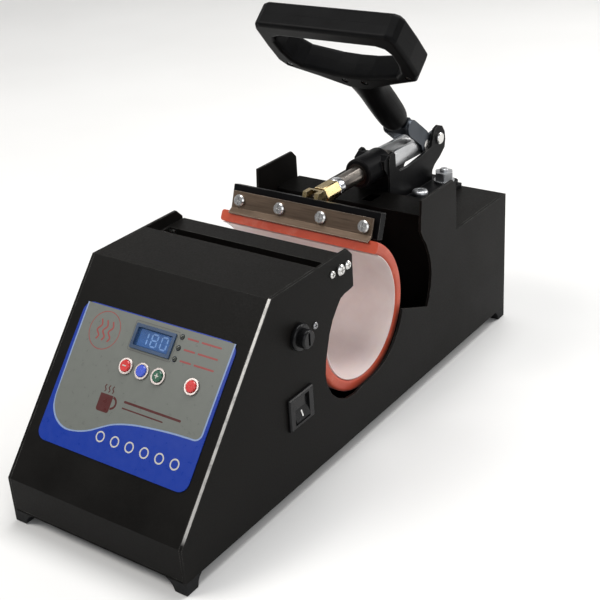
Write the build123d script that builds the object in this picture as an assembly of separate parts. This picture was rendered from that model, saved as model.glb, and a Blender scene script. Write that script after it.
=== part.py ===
from build123d import *
import os
from math import sin, cos, radians, degrees, atan2, sqrt, hypot

os.makedirs("parts", exist_ok=True)

# ----------------------------------------------------------------------------
# Mug heat press.  Millimetres.  +Z up, +X to the right-hand side, +Y to the
# rear.  The pieces are drawn from the ground (z = 0), the centre line (x = 0)
# and the front face (y = 0).  They are written out with the origin at the
# centre of the mug seat, on the axis of the heating band.
# ----------------------------------------------------------------------------

# ---- housing ---------------------------------------------------------------
W = 140.0            # over the side plates
SHEET = 2.0          # side plate thickness
CT = 1.5             # cover and base sheet thickness
LEN = 394.3          # front face to rear face
FOOT_H = 8.0         # rubber feet lift the housing
CHIN_Z = 31.7        # top of the short upright front strip
TOP_Y = 96.4         # where the control slope meets the flat top
HT = 144.5           # height of the flat top and side plates
COVER_END = 144.0    # rear edge of the front cover's flat top
EAR_Y0, EAR_Y1, EAR_Z = 267.7, 315.7, 143.5
REAR_Z = 104.0       # top of the low rear box
SIDE_GAP = 0.1       # clearance between the covers and the side plates
XI = W / 2 - SHEET   # inner face of a side plate
XC = XI - SIDE_GAP   # half width of everything that fits between the plates

# ---- heater ----------------------------------------------------------------
RC_Y, RC_Z = 197.0, 86.0   # axis of the heating band
R_MUG = 41.0               # radius of the mug it is made for
R_IN = 41.2                # face of the pale inner pad
PAD_T = 0.8                # inner pad thickness
R_BAND = 42.05             # inside of the silicone band
R_OUT = 50.0               # outside of the silicone band
HB = 65.0                  # half width of the band

# ---- toggle clamp ----------------------------------------------------------
ROD_Z = 141.0        # plunger axis height
ROD_R = 6.0
PIV0 = (392.0, 141.0)      # lever pivot on the frame horn (y, z)
PIV1 = (377.6, 139.5)      # lever to link pivot
PIV2 = (337.0, 141.0)      # link to plunger pivot
PIN_R = 3.0
PIN_CLEAR = 0.05
THETA_MAX = 90.0           # lever travel from closed to open
crank = hypot(PIV0[0] - PIV1[0], PIV0[1] - PIV1[1])
link_len = hypot(PIV1[0] - PIV2[0], PIV1[1] - PIV2[1])
a1 = atan2(PIV1[1] - PIV0[1], PIV1[0] - PIV0[0]) - radians(THETA_MAX)
open1 = (PIV0[0] + crank * cos(a1), PIV0[1] + crank * sin(a1))
open2y = open1[0] - sqrt(link_len ** 2 - (open1[1] - PIV2[1]) ** 2)
STROKE = open2y - PIV2[0]
link_rest = degrees(atan2(PIV1[1] - PIV2[1], PIV1[0] - PIV2[0]))
link_open = degrees(atan2(open1[1] - PIV2[1], open1[0] - open2y))
LINK_TURN = link_open - link_rest
print("stroke", round(STROKE, 4), "link turn", round(LINK_TURN, 4))

# ---- handle ----------------------------------------------------------------
HA = 47.6            # handle axis above the horizontal, degrees
HO = (352.0, 164.5)  # (y, z) where the grip neck starts


# ---- helpers ---------------------------------------------------------------
def box(x0, x1, y0, y1, z0, z1):
    return Pos((x0 + x1) / 2, (y0 + y1) / 2, (z0 + z1) / 2) * Box(x1 - x0, y1 - y0, z1 - z0)


def cyl_x(y, z, r, x0, x1):
    return Pos((x0 + x1) / 2, y, z) * (Rot(0, 90, 0) * Cylinder(r, x1 - x0))


def cyl_y(x, z, r, y0, y1):
    return Pos(x, (y0 + y1) / 2, z) * (Rot(90, 0, 0) * Cylinder(r, y1 - y0))


def cyl_z(x, y, r, z0, z1):
    return Pos(x, y, (z0 + z1) / 2) * Cylinder(r, z1 - z0)


YZ = Plane(origin=(0, 0, 0), x_dir=(0, 1, 0), z_dir=(1, 0, 0))


def poly(pts, close=True):
    return Polyline(*[(p[0], p[1]) for p in pts], close=close)


def plate_x(pts, x0, x1):
    """closed (y, z) outline, extruded from x0 to x1"""
    f = make_face(poly(pts))
    return Pos(x0, 0, 0) * extrude(YZ * f, x1 - x0)


def face_x(face, x0, x1):
    return Pos(x0, 0, 0) * extrude(YZ * face, x1 - x0)


def hull2(p, q, r):
    """stadium between two (y, z) points"""
    L = hypot(q[0] - p[0], q[1] - p[1])
    ang = degrees(atan2(q[1] - p[1], q[0] - p[0]))
    return Pos((p[0] + q[0]) / 2, (p[1] + q[1]) / 2) * (Rot(0, 0, ang) * (Rectangle(L, 2 * r) + Pos(-L / 2, 0) * Circle(r) + Pos(L / 2, 0) * Circle(r)))


def group(shapes):
    return Compound(children=list(shapes))


def pan_x(y, z, r, h, x, side, shank_r, shank_l):
    """pan-head screw along X; head outside x, side is +1 or -1"""
    head = cyl_x(y, z, r, min(x, x + side * h), max(x, x + side * h))
    head = chamfer(head.edges().filter_by(GeomType.CIRCLE).sort_by(Axis.X)[-1 if side > 0 else 0], h * 0.45)
    xs = x + side * (h - 0.9)
    slot1 = box(min(xs, xs + side * 2), max(xs, xs + side * 2), y - r * 0.6, y + r * 0.6, z - 0.35, z + 0.35)
    slot2 = box(min(xs, xs + side * 2), max(xs, xs + side * 2), y - 0.35, y + 0.35, z - r * 0.6, z + r * 0.6)
    head = head - slot1 - slot2
    sh = cyl_x(y, z, shank_r, min(x, x - side * shank_l), max(x, x - side * shank_l))
    return head + sh


def screw_local(r, h, shank_r, shank_l, cross=True):
    """pan-head screw, head above z=0, shank below"""
    head = Pos(0, 0, h / 2) * Cylinder(r, h)
    head = chamfer(head.edges().filter_by(GeomType.CIRCLE).sort_by(Axis.Z)[-1], h * 0.4)
    if cross:
        head = head - Pos(0, 0, h) * Box(r * 1.2, 0.7, 1.6) - Pos(0, 0, h) * Box(0.7, r * 1.2, 1.6)
    return head + Pos(0, 0, -shank_l / 2) * Cylinder(shank_r, shank_l)


parts = {}


def put(name, shape):
    parts[name] = shape


# ============================================================================
# 1. HOUSING
# ============================================================================
# side plate outline (y, z); the keyhole opening for the mug is open at the top
front_low = [(181.0, 117.0), (176.5, 116.2), (171.0, 115.9), (166.2, 114.5), (161.2, 109.4), (156.6, 104.0),
             (152.2, 95.9), (149.2, 86.6), (146.9, 78.8), (145.8, 70.1), (147.0, 61.5), (151.5, 53.0),
             (158.6, 46.2), (167.5, 41.4), (177.5, 39.9), (187.0, 41.5)]
OPEN_R = 44.0
arc_low = []
for k in range(0, 19):
    t = radians(-92 + k * (92 - 15) / 18.0)
    arc_low.append((RC_Y + OPEN_R * cos(t), RC_Z + OPEN_R * sin(t)))
rear_up = [(272.8, 61.3), (276.2, 68.0), (278.6, 76.0), (279.6, 84.6), (279.3, 92.0), (277.2, 100.0), (272.9, 109.6),
           (268.6, 115.8), (265.8, 121.0)]
side_pts = [(0, FOOT_H), (LEN, FOOT_H), (LEN, REAR_Z), (EAR_Y1, REAR_Z), (EAR_Y1, 138.2), (310.6, EAR_Z),
            (EAR_Y0, EAR_Z)] + rear_up[::-1] + arc_low[::-1] + front_low[::-1] + [
            (181.0, 139.0), (175.5, HT), (TOP_Y, HT), (0, CHIN_Z)]
side_face_pts = []
for p in side_pts:
    if not side_face_pts or hypot(p[0] - side_face_pts[-1][0], p[1] - side_face_pts[-1][1]) > 0.2:
        side_face_pts.append(p)

FUSE = (120.0, 109.5)          # fuse holder axis (y, z) on the right plate
SW = (116.5, 62.0)             # rocker switch centre (y, z)
SW_W, SW_H = 25.0, 22.0        # switch bezel along y and z
SW_CUT_Y, SW_CUT_Z = 21.6, 19.0
SCREW_ROW = [(158.2, 134.3), (166.6, 134.1), (174.9, 134.1)]
RIVET = (137.4, 108.9)         # small screw of the inner bracket


def side_plate(sign):
    s = plate_x(side_face_pts, XI, W / 2)
    if sign > 0:
        s -= cyl_x(FUSE[0], FUSE[1], 6.35, 60, 80)
        s -= box(60, 80, SW[0] - SW_CUT_Y / 2, SW[0] + SW_CUT_Y / 2, SW[1] - SW_CUT_Z / 2, SW[1] + SW_CUT_Z / 2)
        s -= cyl_x(RIVET[0], RIVET[1], 1.55, 60, 80)
    for (y, z) in SCREW_ROW:
        s -= cyl_x(y, z, 2.05, 60, 80)
    if sign < 0:
        # louvre slots beside the electronics on the left side
        for k in range(6):
            s -= face_x(hull2((100.0, 44.0 + 8 * k), (128.0, 44.0 + 8 * k), 1.5), 60, 80)
        s = mirror(s, about=Plane.YZ)
    return s


put("side_plate_right", side_plate(+1))
put("side_plate_left", side_plate(-1))

# front cover: upright strip, slope, flat top, rear flange; folded from one sheet
sl = hypot(TOP_Y, HT - CHIN_Z)
sn = (-(HT - CHIN_Z) / sl, TOP_Y / sl)       # outward normal of the slope (y, z)
st = (TOP_Y / sl, (HT - CHIN_Z) / sl)        # up the slope (y, z)
SLOPE_A = degrees(atan2(HT - CHIN_Z, TOP_Y))


def on_slope(x, s, h=0.0):
    """point on the slope: x across, s up the slope from the chin, h above it"""
    return (x, st[0] * s + sn[0] * h, CHIN_Z + st[1] * s + sn[1] * h)


def slope_loc(x, s, h=0.0):
    """frame on the slope: local x = +X, local y = up the slope, local z = outward"""
    return Location(Plane(origin=on_slope(x, s, h), x_dir=(1, 0, 0), z_dir=(0, sn[0], sn[1])))


def offset_in(pts_outer, t):
    """inner polyline of an open folded sheet (constant thickness)"""
    out = []
    n = len(pts_outer)
    for i in range(n):
        if i == 0:
            d = (pts_outer[1][0] - pts_outer[0][0], pts_outer[1][1] - pts_outer[0][1])
            L = hypot(*d)
            out.append((pts_outer[0][0] + t * d[1] / L, pts_outer[0][1] - t * d[0] / L))
        elif i == n - 1:
            d = (pts_outer[i][0] - pts_outer[i - 1][0], pts_outer[i][1] - pts_outer[i - 1][1])
            L = hypot(*d)
            out.append((pts_outer[i][0] + t * d[1] / L, pts_outer[i][1] - t * d[0] / L))
        else:
            d0 = (pts_outer[i][0] - pts_outer[i - 1][0], pts_outer[i][1] - pts_outer[i - 1][1])
            d1 = (pts_outer[i + 1][0] - pts_outer[i][0], pts_outer[i + 1][1] - pts_outer[i][1])
            L0, L1 = hypot(*d0), hypot(*d1)
            n0 = (d0[1] / L0, -d0[0] / L0)
            n1 = (d1[1] / L1, -d1[0] / L1)
            b = (n0[0] + n1[0], n0[1] + n1[1])
            k = t / (1 + n0[0] * n1[0] + n0[1] * n1[1])
            out.append((pts_outer[i][0] + b[0] * k, pts_outer[i][1] + b[1] * k))
    return out


def folded(pts_outer, t, x0, x1):
    inner = offset_in(pts_outer, t)
    return plate_x(list(pts_outer) + inner[::-1], x0, x1)


cover = folded([(0, FOOT_H + CT + 0.1), (0, CHIN_Z), (TOP_Y, HT), (COVER_END, HT), (COVER_END, 129.0)], CT, -XC, XC)

# control panel positions on the slope (x, s)
DISP = (1.0, 106.5)            # display centre
DISP_W, DISP_H = 31.0, 15.6
LEDS = [(20.4, 113.6), (20.4, 106.7), (20.4, 99.8)]
BTN = {"minus": (-11.8, 87.2), "set": (0.9, 87.2), "plus": (13.7, 87.2), "start": (39.2, 87.6)}
BTN_R = 3.6
PAN_X, PAN_S0, PAN_S1 = 60.0, 29.2, 119.0

cut = []
cut.append(slope_loc(*DISP) * Box(DISP_W - 3, DISP_H - 3, 20))
for (x, s) in LEDS:
    cut.append(slope_loc(x, s) * Cylinder(1.7, 20))
for k, (x, s) in BTN.items():
    cut.append(slope_loc(x, s) * Cylinder(BTN_R + 0.9, 20))
for c in cut:
    cover -= c
put("front_cover", cover)

# printed overlay sheet on the slope, with openings
OV_T = 0.5
ov = Rectangle(2 * PAN_X, PAN_S1 - PAN_S0)
ov = fillet(ov.vertices(), 7.0)
ov = extrude(ov, OV_T)
ov = slope_loc(0, (PAN_S0 + PAN_S1) / 2, 0.05) * ov
ov -= slope_loc(*DISP) * Box(DISP_W - 3, DISP_H - 3, 20)
for (x, s) in LEDS:
    ov -= slope_loc(x, s) * Cylinder(1.7, 20)
for k, (x, s) in BTN.items():
    ov -= slope_loc(x, s) * Cylinder(BTN_R + 0.9, 20)
put("panel_overlay", ov)

# display: bezel ring on the overlay, window sunk in it, digit module behind
bz = extrude(fillet(Rectangle(DISP_W, DISP_H).vertices(), 0.8), 1.2)
bz -= extrude(fillet(Rectangle(DISP_W - 4.4, DISP_H - 4.4).vertices(), 0.5), 1.2)
put("display_bezel", slope_loc(DISP[0], DISP[1], OV_T + 0.1) * bz)
win = extrude(fillet(Rectangle(DISP_W - 4.6, DISP_H - 4.6).vertices(), 0.6), 1.0)
put("display_window", slope_loc(DISP[0], DISP[1], 0.1) * win)
put("display_module", slope_loc(DISP[0], DISP[1], -5.8) * Box(24.0, 10.5, 11.1))

# indicator lamps: domed, in the panel
lamps = []
for (x, s) in LEDS:
    b = slope_loc(x, s, -2.0) * Cylinder(1.5, 5.0)
    d = slope_loc(x, s, 0.5) * Sphere(1.5)
    lamps.append(b + d + slope_loc(x, s, -7.9) * Cylinder(0.6, 6.9))
put("indicator_lamps", group(lamps))

# push buttons: collar fixed in the panel, cap slides in it
collars = []
for k, (x, s) in BTN.items():
    r = Cylinder(BTN_R + 1.5, 1.0) - Cylinder(BTN_R + 0.25, 3.0)
    collars.append(slope_loc(x, s, OV_T + 0.1 + 0.5) * r)
put("button_collars", group(collars))
BTN_TRAVEL = 1.0
for k, (x, s) in BTN.items():
    cap = Pos(0, 0, -1.2) * Cylinder(BTN_R, 5.2)
    cap = chamfer(cap.edges().filter_by(GeomType.CIRCLE).sort_by(Axis.Z)[-1], 0.5)
    cap += Pos(0, 0, -5.9) * Cylinder(1.4, 4.3)
    put("button_" + k, slope_loc(x, s, 1.3) * cap)

# control board behind the slope, on four spacers, with tact switches
pcb = Box(96.0, 46.0, 1.6)
for sx in (-43, 43):
    for sy in (-19, 19):
        pcb -= Pos(sx, sy, 0) * Cylinder(1.6, 5)
put("control_board", slope_loc(0, 97.0, -12.2) * pcb)
sp = []
for sx in (-43, 43):
    for sy in (-19, 19):
        sp.append(slope_loc(sx, 97.0 + sy, -(1.5 + 0.05 + 9.7 / 2)) * (Cylinder(3.0, 9.7)))
put("board_spacers", group(sp))
ts = []
for k, (x, s) in BTN.items():
    ts.append(slope_loc(x, s, -9.7) * Box(6, 6, 3.3))
put("tact_switches", group(ts))

# base tray with upturned side flanges
base = box(-XC, XC, 0.05, LEN - 0.05, FOOT_H, FOOT_H + CT)
for sx in (-1, 1):
    base += box(min(sx * (XC - CT), sx * XC), max(sx * (XC - CT), sx * XC), 2.0, LEN - 2.0, FOOT_H, FOOT_H + 14)
FEET = [(-64.6, 5.0), (64.6, 5.0), (-64.6, LEN - 5.0), (64.6, LEN - 5.0)]
for (x, y) in FEET:
    base -= cyl_z(x, y, 1.6, 0, 30)
# vent slots under the electronics
for k in range(7):
    base -= Pos(0, 60 + 9 * k, FOOT_H) * extrude(Rectangle(60, 3), 10, both=True)
put("base_tray", base)

# corner feet: flush with the front and side faces, flared towards the housing
XZF = Plane(origin=(0, 0, 0), x_dir=(1, 0, 0), z_dir=(0, -1, 0))
FT = FOOT_H - 0.05
foot = extrude(XZF * make_face(poly([(61.0, 0), (70.0, 0), (70.0, FT), (54.6, FT), (57.6, 6.0), (59.6, 3.6)])), 20, both=True)
foot = foot & plate_x([(0, 0), (9.8, 0), (10.6, 3.6), (12.0, 6.0), (14.2, FT), (0, FT)], 50, 75)
foot -= cyl_z(64.6, 5.0, 2.5, -1, 3.0)
foot -= cyl_z(64.6, 5.0, 1.5, -1, 20)
foot_l = mirror(foot, about=Plane.YZ)
feet = [foot, foot_l, Pos(0, LEN, 0) * mirror(foot, about=Plane.XZ), Pos(0, LEN, 0) * mirror(foot_l, about=Plane.XZ)]
fsc = []
for (x, y) in FEET:
    s = Pos(x, y, 2.9) * (Rot(180, 0, 0) * screw_local(2.3, 1.6, 1.4, 9.5))
    fsc.append(s)
put("rubber_feet", group(feet))
put("foot_screws", group(fsc))

# bulkhead in front of the heater, between electronics and heater bay
bh = box(-XC + 1.7, XC - 1.7, 144.1, 145.6, FOOT_H + CT + 0.1, 126.0)
bh += box(-XC + 1.7, XC - 1.7, 144.1, 160.0, 124.5, 126.0)
bh -= cyl_y(40, 40, 6.0, 130, 150)
bh -= cyl_y(60, 17.0, 5.2, 130, 150)
put("front_bulkhead", bh)

# front bar: folded bar that carries the fixed end of the band
fb = box(-XC, XC, 165.0, 182.0, 134.6, 137.0)
fb += box(-XC, XC, 180.4, 182.0, 126.4, 137.0)
fb += box(-XC, XC, 165.0, 166.6, 128.2, 137.0)
for sx in (-1, 1):
    x0, x1 = sorted((sx * (XC - 1.6), sx * XC))
    fb += box(x0, x1, 153.0, 182.0, 128.2, 137.0)
for (y, z) in SCREW_ROW:
    for sx in (-1, 1):
        fb -= cyl_x(y, z, 2.05, min(sx * 61.0, sx * 80.0), max(sx * 61.0, sx * 80.0))
FL_X = (-48, -16, 16, 48)
FL_Z = 130.0
for x in FL_X:
    fb -= cyl_y(x, FL_Z, 2.05, 170, 190)
put("front_bar", fb)
row = []
for sx in (-1, 1):
    for i, (y, z) in enumerate(SCREW_ROW):
        r = (2.4, 3.6, 2.9)[i]
        row.append(pan_x(y, z, r, (1.2, 2.2, 1.5)[i], sx * (W / 2 + 0.05), sx, 2.0, 8.0))
put("front_bar_screws", group(row))

# bridge between the ears, behind the heater bay
br_pts = [(287.0, FOOT_H + CT + 0.1), (287.0, 123.0), (315.6, 123.0), (315.6, 104.2)]
bridge = folded(br_pts, CT, -XC + 1.7, XC - 1.7)
bridge -= Pos(7.6, 301.5, 123) * Box(9, 14, 10)
for sx in (-1, 1):
    x0, x1 = sorted((sx * (XC - 1.6), sx * XC))
    t = box(x0, x1, 290.0, 313.0, 106.0, 121.4)
    bridge += t
    bridge += box(*sorted((sx * (XC - 4.0), sx * XC)), 290.0, 313.0, 120.5, 123.0)
bridge -= cyl_y(60, 17.0, 5.2, 280, 292)
put("rear_bridge", bridge)

# rear cover: flat top over the low rear box, and the back wall
rc = folded([(316.0, REAR_Z), (LEN, REAR_Z), (LEN, FOOT_H + CT + 0.1)], CT, -XC, XC)
for sx in (-1, 1):
    x0, x1 = sorted((sx * (XC - CT), sx * XC))
    rc += box(x0, x1, 330.0, LEN - 2, 84.0, REAR_Z - 0.5)
INLET = (-30.0, 45.0)
rc -= Pos(INLET[0], LEN, INLET[1]) * Box(27.4, 20, 20.0)
for sx in (-1, 1):
    rc -= cyl_y(INLET[0] + sx * 20, INLET[1], 1.6, LEN - 10, LEN + 10)
for k in range(6):
    rc -= Pos(30, LEN, 30 + 9 * k) * (Rot(90, 0, 0) * extrude(SlotOverall(44, 3.2), 10, both=True))
CLB = [(-21, 349), (21, 349), (-24, 381), (24, 381)]
for (x, y) in CLB:
    rc -= cyl_z(x, y, 3.3, 90, 120)
put("rear_cover", rc)

# small screw of the inner bracket on the right plate
cs = []
cs.append(pan_x(RIVET[0], RIVET[1], 2.2, 0.9, W / 2 + 0.05, 1, 1.5, 6.0))

# ============================================================================
# 2. ELECTRICS
# ============================================================================
# rocker switch in the right plate: housing with bezel, rocker tilts in it
x_face = W / 2
swb = box(x_face + 0.05, x_face + 2.2, SW[0] - SW_W / 2, SW[0] + SW_W / 2, SW[1] - SW_H / 2, SW[1] + SW_H / 2)
swb = chamfer(swb.faces().sort_by(Axis.X)[-1].edges(), 0.8)
swb += box(x_face - 18, x_face + 0.1, SW[0] - SW_CUT_Y / 2 + 0.15, SW[0] + SW_CUT_Y / 2 - 0.15,
           SW[1] - SW_CUT_Z / 2 + 0.15, SW[1] + SW_CUT_Z / 2 - 0.15)
RK_Y, RK_Z = 15.0, 17.4
swb -= box(x_face - 9.0, x_face + 5, SW[0] - RK_Y / 2, SW[0] + RK_Y / 2, SW[1] - RK_Z / 2, SW[1] + RK_Z / 2)
# rocker: (x, z) profile, one side proud; pivots about Y through (x_face - 3, SW z)
RKX = x_face - 2.6
XZP = Plane(origin=(0, 0, 0), x_dir=(1, 0, 0), z_dir=(0, -1, 0))
ROCK_A = 9.0      # half of the rocking angle


def rot2(p, c, a):
    a = radians(a)
    dx, dz = p[0] - c[0], p[1] - c[1]
    return (c[0] + dx * cos(a) - dz * sin(a), c[1] + dx * sin(a) + dz * cos(a))


c0 = (RKX, SW[1])
prof = [(RKX - 3.0, SW[1] - 4.5), (RKX + 3.4, SW[1] - 7.9), (RKX + 4.3, SW[1] - 7.6), (RKX + 3.0, SW[1]),
        (RKX + 4.3, SW[1] + 7.6), (RKX + 3.4, SW[1] + 7.9), (RKX - 3.0, SW[1] + 4.5)]
prof = [rot2(p, c0, ROCK_A) for p in prof]
rk = extrude(XZP * make_face(poly(prof)), (RK_Y - 0.6) / 2, both=True)
rk = Pos(0, SW[0], 0) * rk
rk -= cyl_y(RKX, SW[1], 1.05, SW[0] - 20, SW[0] + 20)
put("switch_rocker", rk)
# the rocker turns on a trunnion moulded across the housing
swb += cyl_y(RKX, SW[1], 1.0, SW[0] - RK_Y / 2 - 0.5, SW[0] + RK_Y / 2 + 0.5)
put("switch_housing", swb)

# fuse holder: flange and body fixed, screw cap turns, glass fuse inside
fh = cyl_x(FUSE[0], FUSE[1], 8.6, x_face + 0.05, x_face + 3.2)
fh = chamfer(fh.edges().filter_by(GeomType.CIRCLE).sort_by(Axis.X)[-1], 0.9)
fh += cyl_x(FUSE[0], FUSE[1], 6.2, x_face - 26, x_face + 0.2)
fh -= cyl_x(FUSE[0], FUSE[1], 5.05, x_face - 23, x_face + 10)
put("fuse_holder", fh)
fc = cyl_x(FUSE[0], FUSE[1], 4.95, x_face - 8, x_face + 8.2)
fc += cyl_x(FUSE[0], FUSE[1], 6.0, x_face + 3.3, x_face + 8.2)
fc = chamfer(fc.edges().filter_by(GeomType.CIRCLE).sort_by(Axis.X)[-1], 0.9)
fc -= box(x_face + 6.6, x_face + 10, FUSE[0] - 0.8, FUSE[0] + 0.8, FUSE[1] - 4.2, FUSE[1] + 4.2)
fc -= cyl_x(FUSE[0], FUSE[1], 2.7, x_face - 10, x_face - 2)
put("fuse_cap", fc)
put("fuse", cyl_x(FUSE[0], FUSE[1], 2.5, x_face - 22.5, x_face - 2.6))

# power inlet on the back wall
inl = Pos(INLET[0], LEN + 1.6, INLET[1]) * Box(50.0, 3.0, 24.0)
inl = chamfer(inl.faces().sort_by(Axis.Y)[-1].edges(), 0.9)
inl += Pos(INLET[0], LEN - 12.0, INLET[1]) * Box(27.0, 26.0, 19.6)
cav = Pos(INLET[0], LEN - 5.5, INLET[1]) * Box(24.2, 18.0, 16.4)
inl -= cav
for dx in (-7, 0, 7):
    inl += Pos(INLET[0] + dx, LEN - 8.0, INLET[1] + (2.0 if dx == 0 else -2.0)) * Box(2.0, 13.0, 4.0)
for sx in (-1, 1):
    inl -= cyl_y(INLET[0] + sx * 20, INLET[1], 1.6, LEN - 10, LEN + 10)
put("power_inlet", inl)
isc = []
for sx in (-1, 1):
    isc.append(Pos(INLET[0] + sx * 20, LEN + 3.15, INLET[1]) * (Rot(-90, 0, 0) * screw_local(2.7, 1.6, 1.5, 9.0)))
put("case_screws", group(cs + isc))

# transformer, power relay bracket, terminal block on the base tray
tr = box(-32, 8, 108, 140, FOOT_H + CT + 0.1, FOOT_H + CT + 34)
put("transformer_core", tr)
put("terminal_block", box(20, 56, 92, 108, FOOT_H + CT + 0.1, FOOT_H + CT + 14))
put("solid_state_relay", box(-32, 12, 340, 384, FOOT_H + CT + 0.1, FOOT_H + CT + 23))
# mains cable inside the housing, from the inlet along the right side to the switch
wp = FilletPolyline((-30, 369.0, 45.0), (-30, 350.0, 45.0), (15, 332.0, 42.0), (60, 318.0, 17.0), (60, 137.0, 17.0),
                    (42, 116.5, 40.0), (42, 116.5, 62.0), (51.8, 116.5, 62.0), radius=6.0)
wire = sweep(Plane(origin=(-30, 369.0, 45.0), z_dir=(0, -1, 0)) * Circle(3.2), path=wp)
put("mains_cable", wire)
# ============================================================================
# 3. HEATER
# ============================================================================
ring = Circle(R_OUT) - Circle(R_BAND)
ring = Pos(RC_Y, RC_Z) * ring
FRONT_END = 180.3
band_f = ring
# open the top between the front bar lip and the press strip
band_f -= make_face(poly([(FRONT_END, RC_Z), (FRONT_END, 170), (222.6 + 7.0 * 3, 132.8 + 8.5 * 3), (214.5, 123.0), (RC_Y, RC_Z)]))
# press strip frame: t up along the strip face, m behind it
TT = (0.342, 0.940)
MM = (0.940, -0.342)
S0 = (222.0, 132.5)


def sp2(s, m):
    return (S0[0] + TT[0] * s + MM[0] * m, S0[1] + TT[1] * s + MM[1] * m)


tab = make_face(poly([sp2(-6.0, 1.35), sp2(10.5, 1.35), sp2(10.5, 3.6), sp2(-6.0, 3.6)]))
band_f = band_f + tab
band = face_x(band_f, -HB, HB)
# tab is a little narrower than the strip
for sx in (-1, 1):
    x0, x1 = sorted((sx * 56.0, sx * 70.0))
    band -= Pos(0, 0, 0) * plate_x([sp2(-1.0, -2), sp2(14, -2), sp2(14, 6), sp2(-1.0, 6)], x0, x1)
SC_X = (-51.5, -17.2, 17.2, 51.5)
SC_S = 5.4
MPL = Plane(origin=(0, S0[0], S0[1]), x_dir=(1, 0, 0), z_dir=(0, -MM[0], -MM[1]))   # z points to the front


def strip_loc(x, s, m):
    p = sp2(s, m)
    return Location(Plane(origin=(x, p[0], p[1]), x_dir=(1, 0, 0), z_dir=(0, -MM[0], -MM[1])))


for x in SC_X:
    band -= strip_loc(x, SC_S, 2.5) * Cylinder(2.05, 12)
for x in FL_X:
    band -= cyl_y(x, FL_Z, 2.05, 168, 190)
put("heater_band", band)

pad_f = Pos(RC_Y, RC_Z) * (Circle(R_IN + PAD_T) - Circle(R_IN))
pad_f -= make_face(poly([(RC_Y, RC_Z), (176.0, 140.0), (170, 180), (250, 180), (RC_Y + 60 * cos(radians(58)), RC_Z + 60 * sin(radians(58)))]))
put("heater_pad", face_x(pad_f, -HB + 0.3, HB - 0.3))

# screws through the front bar lip into the band end
fls = []
for x in FL_X:
    fls.append(Pos(x, 182.05, FL_Z) * (Rot(-90, 0, 0) * screw_local(3.3, 1.8, 2.0, 11.0)))
put("band_end_screws", group(fls))

# heater leads: sleeve from the band's front underside to the bulkhead grommet
LD = (-0.742, -0.6704)
L0 = (40, RC_Y + LD[0] * (R_OUT + 0.3), RC_Z + LD[1] * (R_OUT + 0.3))
lead_path = Spline(L0, (40, 154.5, 45.0), (40, 149.0, 41.0), (40, 140.0, 40.0), (34, 128.0, 36.0), tangents=((0, LD[0], LD[1]), (-0.4, -0.8, -0.3)))
lead = sweep(Plane(origin=L0, z_dir=(0, LD[0], LD[1])) * Circle(3.4), path=lead_path)
put("heater_lead_sleeve", lead)

# ============================================================================
# 4. PRESS BAR
# ============================================================================
strip_pts = [sp2(11.8, 0), sp2(0, 0), (217.5, 130.0), (218.1, 128.95), sp2(-0.35, 1.2), sp2(11.8, 1.2)]
strip = plate_x(strip_pts, -58, 58)
for x in SC_X:
    strip -= strip_loc(x, SC_S, 0) * Cylinder(2.1, 12)
put("press_strip", strip)
bar = plate_x([sp2(-2.0, 3.75), sp2(16.0, 3.75), sp2(16.0, 9.7), sp2(-2.0, 9.7)], -61, 61)
for x in SC_X:
    bar -= strip_loc(x, SC_S, 6.0) * Cylinder(2.05, 14)
put("press_bar", bar)
pss = []
for x in SC_X:
    pss.append(strip_loc(x, SC_S, -0.05) * screw_local(4.3, 2.2, 2.0, 9.9))
put("strip_screws", group(pss))

# fork lug welded behind the bar, holding the head of the adjusting spindle
lug = box(-6.5, 6.5, 230.0, 247.0, ROD_Z - 6.5, ROD_Z + 6.5)
lug = fillet(lug.edges().filter_by(Axis.X), 2.5)
lug -= plate_x([sp2(-10, -20), sp2(30, -20), sp2(30, 9.75), sp2(-10, 9.75)], -20, 20)
lug -= box(-3.2, 3.2, 200, 243.0, ROD_Z - 4, ROD_Z + 10)
lug -= cyl_y(0, ROD_Z, 4.02, 236, 250)
put("press_lug", lug)
spin = cyl_y(0, ROD_Z, 4.0, 241.5, 286.0)
spin += cyl_y(0, ROD_Z, 3.0, 239.8, 242.0)
put("adjuster_spindle", spin)
nut = Pos(0, 248.0, ROD_Z) * (Rot(-90, 0, 0) * extrude(RegularPolygon(7.5, 6), 17.0))
nut = nut & (cyl_y(0, ROD_Z, 7.2, 248.0, 265.0))
nut -= cyl_y(0, ROD_Z, 4.02, 240, 280)
put("adjuster_nut", nut)
col = cyl_y(0, ROD_Z, 6.6, 265.1, 271.9) - cyl_y(0, ROD_Z, 4.02, 260, 280)
col = chamfer(col.edges().filter_by(GeomType.CIRCLE).sort_by(SortBy.RADIUS)[-2:], 0.8)
put("lock_collar", col)

# plunger rod with a flat tang at the rear
rod = cyl_y(0, ROD_Z, ROD_R, 272.0, 326.3)
rod -= cyl_y(0, ROD_Z, 4.02, 260, 288)
tang = box(-5.2, 5.2, 326.0, PIV2[0], ROD_Z - 5.5, ROD_Z + 5.5)
tang += cyl_x(PIV2[0], ROD_Z, 5.5, -5.2, 5.2)
tang = tang & cyl_y(0, ROD_Z, 7.4, 320, 350)
rod = rod + tang
rod -= cyl_x(PIV2[0], PIV2[1], PIN_R + PIN_CLEAR, -20, 20)
put("plunger_rod", rod)
put("plunger_pin", cyl_x(PIV2[0], PIV2[1], PIN_R, -5.4, 5.4))

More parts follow.
